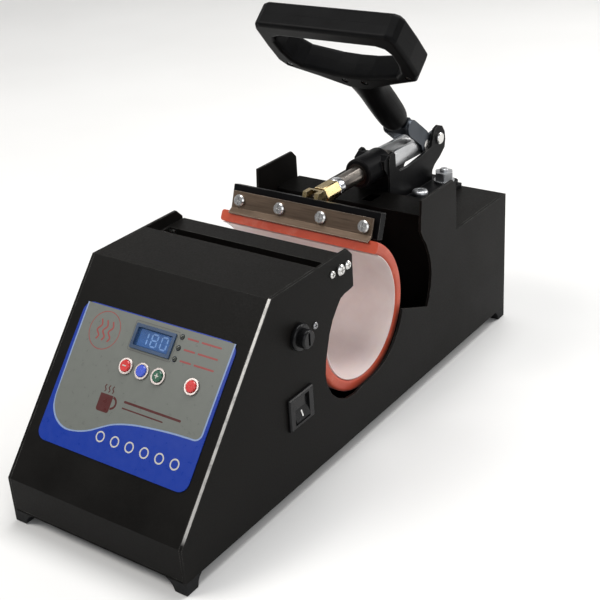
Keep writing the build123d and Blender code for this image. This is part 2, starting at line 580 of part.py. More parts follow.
# ============================================================================
# 5. CLAMP FRAME
# ============================================================================
FZ0 = REAR_Z + 0.05
spc = box(-34, 34, 318.5, 391.0, FZ0, FZ0 + 3.9)
for (x, y) in CLB:
    spc -= cyl_z(x, y, 3.3, 90, 120)
put("clamp_spacer", spc)
CX0, CX1 = 11.5, 14.0       # cheek inner and outer faces
fl = box(-33, 33, 319.0, 390.5, 108.0, 111.0)
fl = fillet(fl.edges().filter_by(Axis.Z), 5.0)
for (x, y) in CLB:
    fl -= cyl_z(x, y, 3.3, 90, 120)
cheek_pts = [(318.0, 109.0), (318.0, 147.0), (320.5, 150.5), (324.0, 151.2), (326.5, 149.0), (327.0, 138.5), (333.1, 133.8), (345.5, 133.4), (366.8, 135.5), (379.9, 137.7),
             (383.2, 145.9), (385.6, 150.2), (391.0, 151.6), (396.6, 149.6), (400.6, 144.0), (401.4, 137.5), (400.3, 131.3), (393.0, 126.1), (384.6, 122.0),
             (380.8, 118.5), (379.4, 109.0)]
fr = fl
for sx in (-1, 1):
    x0, x1 = sorted((sx * CX0, sx * CX1))
    fr += plate_x(cheek_pts, x0, x1)
# guide boss and the block that joins it to the cheeks
fr += chamfer(cyl_y(0, ROD_Z, 11.0, 297.0, 326.0).edges().filter_by(GeomType.CIRCLE).sort_by(Axis.Y)[0], 0.8)
fr += plate_x([(317.5, 111.0), (317.5, 134.0), (313.0, 141.0), (313.0, 147.0), (318.0, 150.0), (324.0, 149.5), (326.0, 141.0), (326.0, 111.0)], -CX1 + 1.0, CX1 - 1.0)
fr -= cyl_y(0, ROD_Z, 7.5, 290, 330)
fr -= cyl_x(PIV0[0], PIV0[1], PIN_R + PIN_CLEAR, -20, 20)
put("clamp_frame", fr)
bush = cyl_y(0, ROD_Z, 7.45, 296.5, 325.9) + cyl_y(0, ROD_Z, 8.0, 296.0, 296.9)
bush -= cyl_y(0, ROD_Z, ROD_R + 0.05, 290, 340)
put("plunger_bush", bush)

# frame bolts: two button heads in front, two studs with flanged hex nuts behind
cb = []
for (x, y) in CLB[:2]:
    h = Pos(x, y, 111.05) * Cylinder(6.2, 3.4, align=(Align.CENTER, Align.CENTER, Align.MIN))
    h = fillet(h.edges().filter_by(GeomType.CIRCLE).sort_by(Axis.Z)[-1], 2.2)
    h -= Pos(x, y, 112.6) * extrude(RegularPolygon(2.3, 6), 5)
    h += cyl_z(x, y, 3.2, 94.0, 111.1)
    cb.append(h)
for (x, y) in CLB[2:]:
    s = cyl_z(x, y, 3.2, 94.0, 121.5)
    s = chamfer(s.edges().filter_by(GeomType.CIRCLE).sort_by(Axis.Z)[-1], 0.6)
    cb.append(s)
put("frame_bolts", group(cb))
nn = []
for (x, y) in CLB[2:]:
    n = Pos(x, y, 112.5) * extrude(RegularPolygon(7.5, 6), 6.7)
    n = n & cyl_z(x, y, 7.25, 112.0, 120.0)
    n += cyl_z(x, y, 8.0, 111.05, 112.6)
    n -= cyl_z(x, y, 3.25, 100, 130)
    nn.append(n)
for (x, y) in CLB:
    n = Pos(x, y, 96.4) * extrude(RegularPolygon(6.4, 6), 6.0)
    n -= cyl_z(x, y, 3.25, 90, 130)
    nn.append(n)
put("frame_nuts", group(nn))

# ============================================================================
# 6. LEVER, LINKS, PINS
# ============================================================================
# two side links inside the lever plates
LX0, LX1 = 5.75, 8.55
lk = []
for sx in (-1, 1):
    x0, x1 = sorted((sx * LX0, sx * LX1))
    l = face_x(hull2(PIV2, PIV1, 6.2), x0, x1)
    # riveted head of the pin at the plunger end of the link
    hx0, hx1 = sorted((sx * (LX1 - 0.1), sx * (LX1 + 0.25)))
    l += cyl_x(PIV2[0], PIV2[1], 4.2, hx0, hx1)
    l -= cyl_x(PIV1[0], PIV1[1], PIN_R + PIN_CLEAR, -20, 20)
    lk.append(l)
put("link_pair", group(lk))

# lever: two plates that straddle the links, joined to a bar that runs into the grip
ha = radians(HA)
hu = (-cos(ha), sin(ha))        # (y, z) along the handle
hn = (sin(ha), cos(ha))         # (y, z) across it, towards the rear


def hp2(s, t):
    return (HO[0] + hu[0] * s + hn[0] * t, HO[1] + hu[1] * s + hn[1] * t)


PX0, PX1 = 8.95, 11.15
LA = hp2(-7.6, 0.0)            # upper end of the plates, just below the grip
LB = (374.0, 146.0)            # bend above the link pivot
lev_f = hull2(LA, LB, 6.3) + hull2(LB, PIV1, 6.3) + hull2(PIV1, PIV0, 7.0) + make_face(poly([LB, PIV1, PIV0, (388.0, 147.0)]))
lev = None
for sx in (-1, 1):
    x0, x1 = sorted((sx * PX0, sx * PX1))
    p = face_x(lev_f, x0, x1)
    lev = p if lev is None else lev + p
lev += plate_x([hp2(-0.7, -4.8), hp2(-10.5, -4.8), hp2(-10.5, 5.0), hp2(-0.7, 5.0)], -9.2, 9.2)
lev += plate_x([hp2(60.0, -4.4), hp2(-5.0, -4.4), hp2(-5.0, 4.4), hp2(60.0, 4.4)], -5.4, 5.4)
lev -= cyl_x(PIV0[0], PIV0[1], PIN_R + PIN_CLEAR, -20, 20)
lev -= cyl_x(PIV1[0], PIV1[1], PIN_R + 0.02, -20, 20)
put("lever_arm", lev)
# lever-to-link pin, with thin riveted heads between the lever plates and the cheeks
pin1 = cyl_x(PIV1[0], PIV1[1], PIN_R, -11.4, 11.4)
for sx in (-1, 1):
    x0, x1 = sorted((sx * 11.17, sx * 11.45))
    pin1 += cyl_x(PIV1[0], PIV1[1], 4.0, x0, x1)
put("lever_link_pin", pin1)
# pivot pin through the horns, with riveted heads
pin0 = cyl_x(PIV0[0], PIV0[1], PIN_R, -CX1 - 1.6, CX1 + 1.6)
for sx in (-1, 1):
    x0, x1 = sorted((sx * (CX1 + 0.05), sx * (CX1 + 1.8)))
    hd = cyl_x(PIV0[0], PIV0[1], 4.6, x0, x1)
    hd = chamfer(hd.edges().filter_by(GeomType.CIRCLE).sort_by(Axis.X)[-1 if sx > 0 else 0], 0.7)
    pin0 += hd
put("lever_pivot_pin", pin0)

# ============================================================================
# 7. HANDLE (two moulded shells)
# ============================================================================
HP = Plane(origin=(0, HO[0], HO[1]), x_dir=(1, 0, 0), z_dir=(0, -hn[0], -hn[1]))   # local y = along handle
outer = [(0, 130.4), (50.0, 130.4), (54.2, 128.4), (56.2, 124.0), (57.4, 104.0), (57.4, 86.0), (53.0, 78.6), (30.0, 69.6), (16.0, 63.0), (8.0, 59.5), (0, 58.5)]
outer_pts = outer + [(-x, s) for (x, s) in outer[::-1][1:-1]]
inner = [(0, 117.2), (38.5, 117.2), (43.8, 115.0), (46.4, 109.5), (46.4, 99.0), (44.0, 88.5), (38.0, 81.7), (14.0, 76.4), (0, 75.6)]
inner_pts = inner + [(-x, s) for (x, s) in inner[::-1][1:-1]]
lp = make_face(poly(outer_pts)) - make_face(poly(inner_pts))
loop = extrude(HP * lp, 10.0, both=True)
es = loop.edges().filter_by(lambda e: abs(abs(((e @ 0.5).Y - HO[0]) * hn[0] + ((e @ 0.5).Z - HO[1]) * hn[1]) - 10.0) < 1e-3)
es = es.filter_by(lambda e: ((e @ 0.5).Y - HO[0]) * hu[0] + ((e @ 0.5).Z - HO[1]) * hu[1] > 50)
loop = fillet(es, 3.0)
# neck: round, swelling towards the loop
neck = None
secs = []
for (s, r, rt) in [(-0.4, 7.4, 7.4), (1.6, 9.1, 9.1), (5.0, 10.2, 10.2), (12.0, 10.9, 10.9), (24.0, 11.2, 11.1), (40.0, 11.2, 10.9), (52.0, 12.6, 10.5), (62.0, 17.0, 9.9), (68.0, 21.0, 9.5)]:
    pl = Plane(origin=(0, HO[0] + hu[0] * s, HO[1] + hu[1] * s), x_dir=(1, 0, 0), z_dir=(0, hu[0], hu[1]))
    secs.append(pl * Ellipse(r, rt))
neck = loft(secs)
handle = loop + neck
# pocket for the lever bar
pocket = plate_x([hp2(60.2, -4.5), hp2(-6.0, -4.5), hp2(-6.0, 4.5), hp2(60.2, 4.5)], -5.5, 5.5)
handle -= pocket
half = 200.0
low_half = HP * (Pos(0, 60, half / 2 + 0.025) * Box(300, 400, half))
up_half = HP * (Pos(0, 60, -half / 2 - 0.025) * Box(300, 400, half))
HS = [(-48.5, 82.6), (-8.0, 69.4), (8.0, 69.4), (48.5, 82.6)]
hl = handle & low_half
hu_ = handle & up_half
for (x, s) in HS:
    hole = HP * (Pos(x, s, 0) * Cylinder(1.3, 16.0))
    hl -= hole
    hu_ -= hole
    hl -= HP * (Pos(x, s, 9.0) * Cylinder(2.6, 2.6))
put("handle_shell_front", hl)
put("handle_shell_rear", hu_)
hsc = []
for (x, s) in HS:
    hsc.append(HP * (Pos(x, s, 7.75) * screw_local(2.5, 1.5, 1.25, 15.0)))
put("handle_screws", group(hsc))

# ============================================================================
# write
# ============================================================================
SEAT = Pos(0, -RC_Y, -RC_Z)
for name, shape in parts.items():
    export_step(SEAT * shape, "parts/" + name + ".step")
print(len(parts), "nodes")
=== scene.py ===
import math
import random

import bmesh
import bpy
from mathutils import Matrix, Vector


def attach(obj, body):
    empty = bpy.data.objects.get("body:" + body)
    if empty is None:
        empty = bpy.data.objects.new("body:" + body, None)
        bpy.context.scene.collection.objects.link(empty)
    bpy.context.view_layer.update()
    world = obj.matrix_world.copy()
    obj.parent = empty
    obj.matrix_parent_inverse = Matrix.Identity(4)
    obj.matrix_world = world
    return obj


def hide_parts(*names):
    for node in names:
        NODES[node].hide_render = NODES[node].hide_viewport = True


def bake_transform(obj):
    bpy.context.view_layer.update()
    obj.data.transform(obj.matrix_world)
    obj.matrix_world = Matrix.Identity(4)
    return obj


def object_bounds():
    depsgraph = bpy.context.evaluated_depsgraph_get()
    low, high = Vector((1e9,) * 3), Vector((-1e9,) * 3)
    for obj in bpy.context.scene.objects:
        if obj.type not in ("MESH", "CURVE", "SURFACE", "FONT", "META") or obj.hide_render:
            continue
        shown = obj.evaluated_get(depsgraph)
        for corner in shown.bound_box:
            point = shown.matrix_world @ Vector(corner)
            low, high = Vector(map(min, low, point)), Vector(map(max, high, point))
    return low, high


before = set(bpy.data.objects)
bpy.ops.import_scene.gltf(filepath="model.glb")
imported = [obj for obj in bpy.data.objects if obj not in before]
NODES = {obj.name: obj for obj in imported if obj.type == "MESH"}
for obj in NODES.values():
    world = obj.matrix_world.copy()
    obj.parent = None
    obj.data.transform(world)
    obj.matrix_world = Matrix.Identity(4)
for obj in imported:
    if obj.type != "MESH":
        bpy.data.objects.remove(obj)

cad_lo, cad_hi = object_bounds()
random.seed(7)

# ---------------------------------------------------------------------------
# Positions below are written in millimetres from the ground, the centre line
# and the front face, as in the CAD source; P() turns them into the row frame.
# ---------------------------------------------------------------------------
OY, OZ = 197.0, 86.0


def P(x, y, z):
    return Vector((x * 0.001, (y - OY) * 0.001, (z - OZ) * 0.001))


CHIN_Z, TOP_Y, HT = 31.7, 96.4, 144.5
SL = math.hypot(TOP_Y, HT - CHIN_Z)
SN = (-(HT - CHIN_Z) / SL, TOP_Y / SL)
ST = (TOP_Y / SL, (HT - CHIN_Z) / SL)


def S(x, s, h=0.0):
    """point on the control slope: x across, s up the slope, h above the sheet"""
    return P(x, ST[0] * s + SN[0] * h, CHIN_Z + ST[1] * s + SN[1] * h)


# ---------------------------------------------------------------------------
# materials
# ---------------------------------------------------------------------------
class Mat:
    def __init__(self, name):
        self.m = bpy.data.materials.new(name)
        self.m.use_nodes = True
        self.t = self.m.node_tree
        self.t.nodes.clear()
        self.out = self.n("ShaderNodeOutputMaterial")
        self.b = self.n("ShaderNodeBsdfPrincipled")
        self.link(self.b.outputs["BSDF"], self.out.inputs["Surface"])
        self.co = self.n("ShaderNodeTexCoord").outputs["Object"]

    def n(self, kind, **kw):
        x = self.t.nodes.new(kind)
        for k, v in kw.items():
            setattr(x, k, v)
        return x

    def link(self, a, b):
        self.t.links.new(a, b)

    def set(self, **kw):
        for k, v in kw.items():
            self.b.inputs[k.replace("_", " ")].default_value = v

    def scaled(self, sx, sy, sz):
        mp = self.n("ShaderNodeMapping")
        mp.inputs["Scale"].default_value = (sx, sy, sz)
        self.link(self.co, mp.inputs["Vector"])
        return mp.outputs["Vector"]

    def noise(self, scale, detail=2.0, rough=0.5, vec=None, dist=0.0):
        x = self.n("ShaderNodeTexNoise")
        x.inputs["Scale"].default_value = scale
        x.inputs["Detail"].default_value = detail
        x.inputs["Roughness"].default_value = rough
        x.inputs["Distortion"].default_value = dist
        self.link(vec if vec is not None else self.co, x.inputs["Vector"])
        return x.outputs["Fac"]

    def voronoi(self, scale, vec=None, feature="F1"):
        x = self.n("ShaderNodeTexVoronoi", feature=feature)
        x.inputs["Scale"].default_value = scale
        self.link(vec if vec is not None else self.co, x.inputs["Vector"])
        return x.outputs["Distance"]

    def ramp(self, fac, stops):
        x = self.n("ShaderNodeValToRGB")
        e = x.color_ramp.elements
        e[0].position, e[0].color = stops[0][0], (*stops[0][1], 1)
        e[1].position, e[1].color = stops[-1][0], (*stops[-1][1], 1)
        for p, c in stops[1:-1]:
            q = e.new(p)
            q.color = (*c, 1)
        self.link(fac, x.inputs["Fac"])
        return x.outputs["Color"]

    def mapr(self, fac, a, b, c, d):
        x = self.n("ShaderNodeMapRange")
        for i, v in enumerate((a, b, c, d)):
            x.inputs[i + 1].default_value = v
        self.link(fac, x.inputs[0])
        return x.outputs[0]

    def math(self, op, a, b=None, c=None):
        x = self.n("ShaderNodeMath", operation=op)
        for i, v in enumerate((a, b, c)):
            if v is None:
                continue
            if isinstance(v, (int, float)):
                x.inputs[i].default_value = v
            else:
                self.link(v, x.inputs[i])
        return x.outputs[0]

    def mix(self, fac, a, b):
        x = self.n("ShaderNodeMix", data_type="RGBA")
        if isinstance(fac, (int, float)):
            x.inputs[0].default_value = fac
        else:
            self.link(fac, x.inputs[0])
        for i, v in ((6, a), (7, b)):
            if isinstance(v, tuple):
                x.inputs[i].default_value = (*v, 1)
            else:
                self.link(v, x.inputs[i])
        return x.outputs[2]

    def bump(self, height, strength, dist, normal=None):
        x = self.n("ShaderNodeBump")
        x.inputs["Strength"].default_value = strength
        x.inputs["Distance"].default_value = dist
        self.link(height, x.inputs["Height"])
        if normal is not None:
            self.link(normal, x.inputs["Normal"])
        return x.outputs["Normal"]

    def edge(self, radius, lo=0.02, hi=0.25):
        """0 on flat faces, 1 on outer edges"""
        bv = self.n("ShaderNodeBevel", samples=4)
        bv.inputs["Radius"].default_value = radius
        ge = self.n("ShaderNodeNewGeometry")
        d = self.n("ShaderNodeVectorMath", operation="DOT_PRODUCT")
        self.link(bv.outputs["Normal"], d.inputs[0])
        self.link(ge.outputs["True Normal"], d.inputs[1])
        inv = self.math("SUBTRACT", 1.0, d.outputs["Value"])
        return self.mapr(inv, lo, hi, 0.0, 1.0)

    def base(self, sock):
        self.link(sock, self.b.inputs["Base Color"])

    def rough(self, sock):
        self.link(sock, self.b.inputs["Roughness"])

    def normal(self, sock):
        self.link(sock, self.b.inputs["Normal"])


def powder(name, col, wear=0.5, spec=0.055, slope_edge_highlight=False):
    """satin powder coat: fine orange peel, dust in patches, thin wear on edges; optionally a painted highlight along
    the plate's edge beside the control slope
    """
    m = Mat(name)
    big = m.noise(22, 4, 0.6)
    fine = m.noise(900, 3, 0.55)
    c = m.mix(m.mapr(big, 0.35, 0.7, 0, 1), col, tuple(min(1, v * 1.5 + 0.0012) for v in col))
    spk = m.noise(2600, 1, 0.5)
    c = m.mix(m.mapr(spk, 0.66, 0.74, 0, 0.5), c, tuple(v * 2.2 + 0.004 for v in col))
    e = m.edge(0.0006, 0.03, 0.3)
    patch = m.mapr(m.noise(60, 4, 0.7), 0.40, 0.62, 0.15, 1.0)
    w = m.math("MULTIPLY", m.math("MULTIPLY", e, patch), wear)
    if slope_edge_highlight:
        # painted highlight: the plate's edge beside the control slope is lightened and made partly metallic where it
        # faces the light
        sep = m.n("ShaderNodeSeparateXYZ")
        m.link(m.co, sep.inputs[0])
        y, z = sep.outputs["Y"], sep.outputs["Z"]
        p0 = P(0, 0, CHIN_Z)
        d = m.math("ADD", m.math("MULTIPLY", m.math("SUBTRACT", y, p0.y), SN[0]), m.math("MULTIPLY", m.math("SUBTRACT", z, p0.z), SN[1]))
        on = m.math("MULTIPLY", m.mapr(d, -0.00045, -0.0002, 0, 1), m.mapr(z, p0.z + 0.002, p0.z + 0.006, 0, 1))
        on = m.math("MULTIPLY", on, m.mapr(m.noise(140, 4, 0.7), 0.30, 0.50, 0.55, 1.0))
        w = m.math("MAXIMUM", w, on)
    # edge wear and, on the right plate, the painted slope-edge highlight both lighten toward this grey
    c = m.mix(w, c, (0.42, 0.41, 0.39))
    m.base(c)
    m.rough(m.math("ADD", m.mapr(fine, 0.3, 0.7, 0.34, 0.50), m.mapr(big, 0.3, 0.7, -0.05, 0.08)))
    m.link(m.math("MULTIPLY", w, 0.5), m.b.inputs["Metallic"])
    m.normal(m.bump(fine, 0.35, 0.00012, m.bump(big, 0.05, 0.001)))
    m.set(Specular_IOR_Level=spec)
    return m.m


def metal(name, col, rough=(0.22, 0.38), streak=(60, 900, 900), bump=0.12, tint=0.8, wear=None, dist=0.00004):
    """machined or brushed metal: streaks along one axis, blotches, fine scratches"""
    m = Mat(name)
    st = m.noise(1.0, 4, 0.6, m.scaled(*streak))
    bl = m.noise(90, 4, 0.6)
    dark = tuple(v * tint for v in col)
    c = m.mix(m.mapr(st, 0.3, 0.7, 0, 1), dark, col)
    c = m.mix(m.mapr(bl, 0.5, 0.75, 0, 0.35), c, tuple(v * 0.62 for v in col))
    if wear:
        e = m.edge(0.0005, 0.03, 0.3)
        c = m.mix(m.math("MULTIPLY", e, 0.8), c, wear)
    m.base(c)
    m.set(Metallic=1.0)
    r = m.math("ADD", m.mapr(st, 0.3, 0.7, rough[0], rough[1]), m.mapr(bl, 0.4, 0.7, 0.0, 0.10))
    m.rough(r)
    m.normal(m.bump(st, bump, dist, m.bump(m.noise(1400, 2), 0.06, 0.00003)))
    return m.m


def plastic(name, col, rough=0.35, grain=1200, strength=0.25, var=0.25, coat=0.0, spec=0.5, sss=0.0, dist=0.00008, dust=0.0):
    """moulded plastic or rubber: fine texture, slow colour drift"""
    m = Mat(name)
    big = m.noise(45, 3, 0.6)
    g = m.noise(grain, 2, 0.6)
    c = m.mix(m.mapr(big, 0.35, 0.65, 0, 1), tuple(v * (1 - var) for v in col), tuple(min(1, v * (1 + var)) for v in col))
    if dust:
        d = m.mapr(m.noise(150, 5, 0.7), 0.50, 0.72, 0, dust)
        c = m.mix(d, c, (0.33, 0.32, 0.30))
    m.base(c)
    m.rough(m.math("ADD", m.mapr(g, 0.3, 0.7, rough - 0.05, rough + 0.07), m.mapr(big, 0.3, 0.7, -0.03, 0.05)))
    m.normal(m.bump(g, strength, dist))
    m.set(Specular_IOR_Level=spec, Coat_Weight=coat, Coat_Roughness=0.08)
    if sss:
        m.set(Subsurface_Weight=sss, Subsurface_Radius=(0.004, 0.0012, 0.0006), Subsurface_Scale=0.5)
    return m.m


def silicone(name, col, col2, weave=True):
    """moulded silicone: soft sheen, talc in patches, faint cloth imprint"""
    m = Mat(name)
    big = m.noise(30, 4, 0.6)
    fine = m.noise(1500, 2, 0.6)
    c = m.mix(m.mapr(big, 0.3, 0.7, 0, 1), col, col2)
    talc = m.mapr(m.noise(75, 5, 0.72), 0.52, 0.75, 0, 0.14)
    c = m.mix(talc, c, (0.80, 0.52, 0.42))
    m.base(c)
    m.rough(m.mapr(big, 0.3, 0.7, 0.40, 0.56))
    h = fine
    if weave:
        wx = m.n("ShaderNodeTexWave", wave_type="BANDS", bands_direction="X")
        wx.inputs["Scale"].default_value = 190
        m.link(m.co, wx.inputs["Vector"])
        wy = m.n("ShaderNodeTexWave", wave_type="BANDS", bands_direction="DIAGONAL")
        wy.inputs["Scale"].default_value = 190
        m.link(m.co, wy.inputs["Vector"])
        h = m.math("ADD", m.math("MULTIPLY", wx.outputs["Fac"], wy.outputs["Fac"]), m.math("MULTIPLY", fine, 0.6))
    m.normal(m.bump(h, 0.18, 0.00008))
    m.set(Specular_IOR_Level=0.45, Sheen_Weight=0.12, Sheen_Roughness=0.5)
    m.set(Subsurface_Weight=0.12, Subsurface_Radius=(0.006, 0.0015, 0.0006), Subsurface_Scale=0.4)
    return m.m


def print_ink(name, col, gloss=0.26, var=0.02):
    """screen-printed film: slight mottle, fine leather grain of the overlay"""
    m = Mat(name)
    mot = m.noise(260, 4, 0.6)
    big = m.noise(28, 3, 0.6)
    c = m.mix(m.mapr(mot, 0.3, 0.7, 0, 1), tuple(v * (1 - var) for v in col), tuple(min(1, v * (1 + var)) for v in col))
    c = m.mix(m.mapr(big, 0.45, 0.75, 0, 0.025), c, (0.16, 0.155, 0.145))
    m.base(c)
    m.rough(m.mapr(mot, 0.3, 0.7, gloss, gloss + 0.12))
    m.normal(m.bump(m.voronoi(1500), 0.10, 0.00004))
    m.set(Specular_IOR_Level=0.25)
    return m.m


def glassy(name, col, alpha=0.3, rough=0.06):
    m = Mat(name)
    n = m.noise(500, 3, 0.6)
    m.base(m.mix(m.mapr(n, 0.4, 0.7, 0, 0.2), col, tuple(min(1, v * 1.2) for v in col)))
    m.rough(m.mapr(n, 0.3, 0.7, rough, rough + 0.06))
    m.set(Alpha=alpha, Specular_IOR_Level=0.25, IOR=1.5)
    return m.m


def glow(name, col, power, col2=None):
    m = Mat(name)
    n = m.noise(140, 3, 0.6)
    c = m.mix(m.mapr(n, 0.3, 0.7, 0, 1), col, col2 or tuple(v * 0.75 for v in col))
    m.base(c)
    m.link(c, m.b.inputs["Emission Color"])
    m.set(Emission_Strength=power, Roughness=0.3)
    return m.m


def braid(name):
    m = Mat(name)
    a = m.n("ShaderNodeTexWave", wave_type="BANDS", bands_direction="DIAGONAL")
    a.inputs["Scale"].default_value = 260
    m.link(m.co, a.inputs["Vector"])
    b = m.n("ShaderNodeTexWave", wave_type="BANDS", bands_direction="DIAGONAL")
    b.inputs["Scale"].default_value = 260
    m.link(m.scaled(-1, 1, 1), b.inputs["Vector"])
    h = m.math("MAXIMUM", a.outputs["Fac"], b.outputs["Fac"])
    c = m.mix(h, (0.30, 0.28, 0.22), (0.78, 0.75, 0.66))
    m.base(c)
    m.set(Roughness=0.75)
    m.normal(m.bump(h, 0.7, 0.0003))
    return m.m


def board(name):
    m = Mat(name)
    v = m.voronoi(420)
    c = m.mix(m.mapr(v, 0.2, 0.5, 0, 1), (0.02, 0.12, 0.05), (0.05, 0.24, 0.10))
    m.base(c)
    m.set(Roughness=0.35)
    m.normal(m.bump(v, 0.2, 0.0001))
    return m.m


M = {}
M["powder"] = powder("powder_black", (0.0050, 0.0046, 0.0041), 0.40)
# right plate: the same powder with a painted highlight along its edge beside the control slope
M["powder_right"] = powder("powder_black_right", (0.0050, 0.0046, 0.0041), 0.40, slope_edge_highlight=True)
# painted shade: parts inside the case get a darker, less glossy copy of the same black powder to stand in for the shade
# there
M["powder_in_shaded"] = powder("powder_black_inner_shaded", (0.0025, 0.0023, 0.0021), 0.15, 0.02)
M["frame"] = powder("clamp_black", (0.0038, 0.0038, 0.0042), 0.5, 0.06)
M["strip"] = metal("stainless_strip", (0.20, 0.145, 0.105), (0.34, 0.50), (40, 1500, 1500), 0.20, 0.66, (0.66, 0.60, 0.52))
M["bright"] = metal("bright_zinc", (0.72, 0.71, 0.69), (0.16, 0.32), (500, 500, 500), 0.10, 0.85)
# painted reflection: the ground steel's base colour is darkened and browned to stand in for the dark surroundings it
# reflects
M["rod"] = metal("ground_rod", (0.30, 0.27, 0.24), (0.24, 0.38), (900, 60, 900), 0.10, 0.8)
M["dark_zinc"] = metal("dark_zinc", (0.30, 0.30, 0.31), (0.28, 0.44), (500, 500, 500), 0.10, 0.8, (0.6, 0.6, 0.6))
M["grey_bolt"] = metal("bolt_grey", (0.55, 0.56, 0.57), (0.30, 0.46), (400, 400, 400), 0.12, 0.8, (0.62, 0.62, 0.62))
M["blued"] = metal("blued_steel", (0.075, 0.085, 0.10), (0.34, 0.50), (300, 120, 500), 0.14, 0.72, (0.34, 0.35, 0.37))
M["link"] = metal("link_steel", (0.60, 0.61, 0.62), (0.24, 0.38), (500, 80, 500), 0.14, 0.8, (0.75, 0.75, 0.75))
M["zinc_y"] = metal("yellow_zinc", (0.52, 0.40, 0.20), (0.18, 0.32), (300, 300, 300), 0.12, 0.72, (0.88, 0.80, 0.62))
M["bronze"] = metal("sintered_bronze", (0.045, 0.040, 0.036), (0.35, 0.5), (500, 500, 500), 0.2, 0.8)
M["trim"] = metal("bright_trim", (0.74, 0.75, 0.77), (0.16, 0.24), (60, 60, 60), 0.02, 0.92)
M["frame_blue"] = plastic("display_frame", (0.030, 0.060, 0.120), 0.30, 1500, 0.1, 0.15, 0.0, 0.3)
M["iron"] = metal("laminated_core", (0.16, 0.15, 0.14), (0.45, 0.6), (60, 60, 1800), 0.4, 0.6)
M["grip"] = plastic("grip_nylon", (0.0034, 0.0034, 0.0036), 0.40, 1500, 0.30, 0.25, 0.0, 0.07, dust=0.005)
M["rubber"] = plastic("foot_rubber", (0.008, 0.008, 0.0085), 0.62, 900, 0.35, 0.25, 0.0, 0.15, dust=0.03)
M["cable"] = plastic("cable_sheath", (0.018, 0.018, 0.018), 0.45, 600, 0.2)
M["abs"] = plastic("switch_plastic", (0.006, 0.006, 0.0065), 0.30, 1600, 0.15, 0.2, 0.0, 0.20)
M["abs_gloss"] = plastic("rocker_plastic", (0.008, 0.008, 0.0085), 0.22, 1600, 0.10, 0.2, 0.0, 0.20)
M["white_mark"] = plastic("mark_paint", (0.78, 0.77, 0.74), 0.5, 900, 0.2, 0.05)
M["nylon"] = plastic("natural_nylon", (0.72, 0.69, 0.62), 0.45, 700, 0.15, 0.06, sss=0.1)
M["ceramic"] = plastic("tact_body", (0.03, 0.03, 0.03), 0.4, 900, 0.2)
M["orange"] = silicone("orange_silicone", (0.42, 0.040, 0.010), (0.53, 0.066, 0.017))
M["liner"] = silicone("pale_liner", (0.62, 0.51, 0.49), (0.72, 0.625, 0.60), False)
M["glue"] = silicone("band_seam", (0.36, 0.040, 0.012), (0.44, 0.055, 0.015), False)
M["blue"] = print_ink("ink_blue", (0.003, 0.030, 0.27))
M["field"] = print_ink("ink_field", (0.140, 0.148, 0.132))
M["halo"] = print_ink("ink_halo", (0.22, 0.29, 0.46))
M["ink_red"] = print_ink("ink_red", (0.26, 0.052, 0.048))
M["ink_dark"] = print_ink("ink_dark", (0.07, 0.012, 0.011))
M["ink_line"] = print_ink("ink_line", (0.085, 0.082, 0.075))
M["ink_white"] = print_ink("ink_white", (0.50, 0.48, 0.43))
M["btn_red"] = plastic("cap_red", (0.56, 0.020, 0.018), 0.24, 1500, 0.1, 0.15, 0.3, sss=0.05)
M["btn_blue"] = plastic("cap_blue", (0.035, 0.075, 0.50), 0.24, 1500, 0.1, 0.15, 0.3, sss=0.05)
M["btn_green"] = plastic("cap_green", (0.006, 0.080, 0.040), 0.24, 1500, 0.1, 0.15, 0.3, sss=0.05)
M["collar"] = metal("collar_bright", (0.62, 0.55, 0.52), (0.22, 0.32), (60, 60, 60), 0.02, 0.92)
M["lens"] = plastic("lamp_lens", (0.020, 0.024, 0.016), 0.12, 900, 0.05, 0.2, 0.5)
M["window"] = glassy("display_window_film", (0.06, 0.14, 0.34), 0.22)
M["lcd"] = glow("display_backlight", (0.020, 0.110, 0.33), 0.16, (0.013, 0.075, 0.24))
M["digit"] = glow("display_digits", (0.30, 0.50, 0.85), 0.22)
M["fuse"] = glassy("fuse_tube", (0.8, 0.85, 0.85), 0.4)
M["braid"] = braid("glass_braid")
M["pcb"] = board("solder_mask")

NODE_MAT = {
    "side_plate_left": "powder", "side_plate_right": "powder_right", "front_cover": "powder", "rear_cover": "powder",
    "base_tray": "powder_in_shaded", "front_bulkhead": "powder_in_shaded", "front_bar": "powder", "rear_bridge": "powder_in_shaded",
    "clamp_frame": "frame", "clamp_spacer": "frame", "press_bar": "frame", "press_lug": "zinc_y",
    "panel_overlay": "blue", "press_strip": "strip", "strip_screws": "bright", "band_end_screws": "bright",
    "front_bar_screws": "bright", "plunger_rod": "rod", "adjuster_spindle": "rod", "lock_collar": "trim",
    "plunger_pin": "bright", "lever_link_pin": "bright", "lever_pivot_pin": "bright", "link_pair": "link",
    "case_screws": "dark_zinc", "foot_screws": "dark_zinc", "frame_bolts": "grey_bolt", "frame_nuts": "grey_bolt",
    "handle_screws": "dark_zinc", "lever_arm": "blued", "adjuster_nut": "zinc_y", "plunger_bush": "bronze",
    "handle_shell_front": "grip", "handle_shell_rear": "grip", "heater_band": "orange", "heater_pad": "liner",
    "heater_lead_sleeve": "braid", "rubber_feet": "rubber", "mains_cable": "cable", "display_window": "window",
    "display_module": "lcd", "display_bezel": "frame_blue", "button_collars": "collar", "indicator_lamps": "lens",
    "button_minus": "btn_red", "button_start": "btn_red", "button_set": "btn_blue", "button_plus": "btn_green",
    "control_board": "pcb", "board_spacers": "nylon", "terminal_block": "nylon", "tact_switches": "ceramic",
    "power_inlet": "abs", "solid_state_relay": "ceramic", "fuse_holder": "abs", "fuse_cap": "abs",
    "switch_housing": "abs", "switch_rocker": "abs_gloss", "fuse": "fuse", "transformer_core": "iron",
}
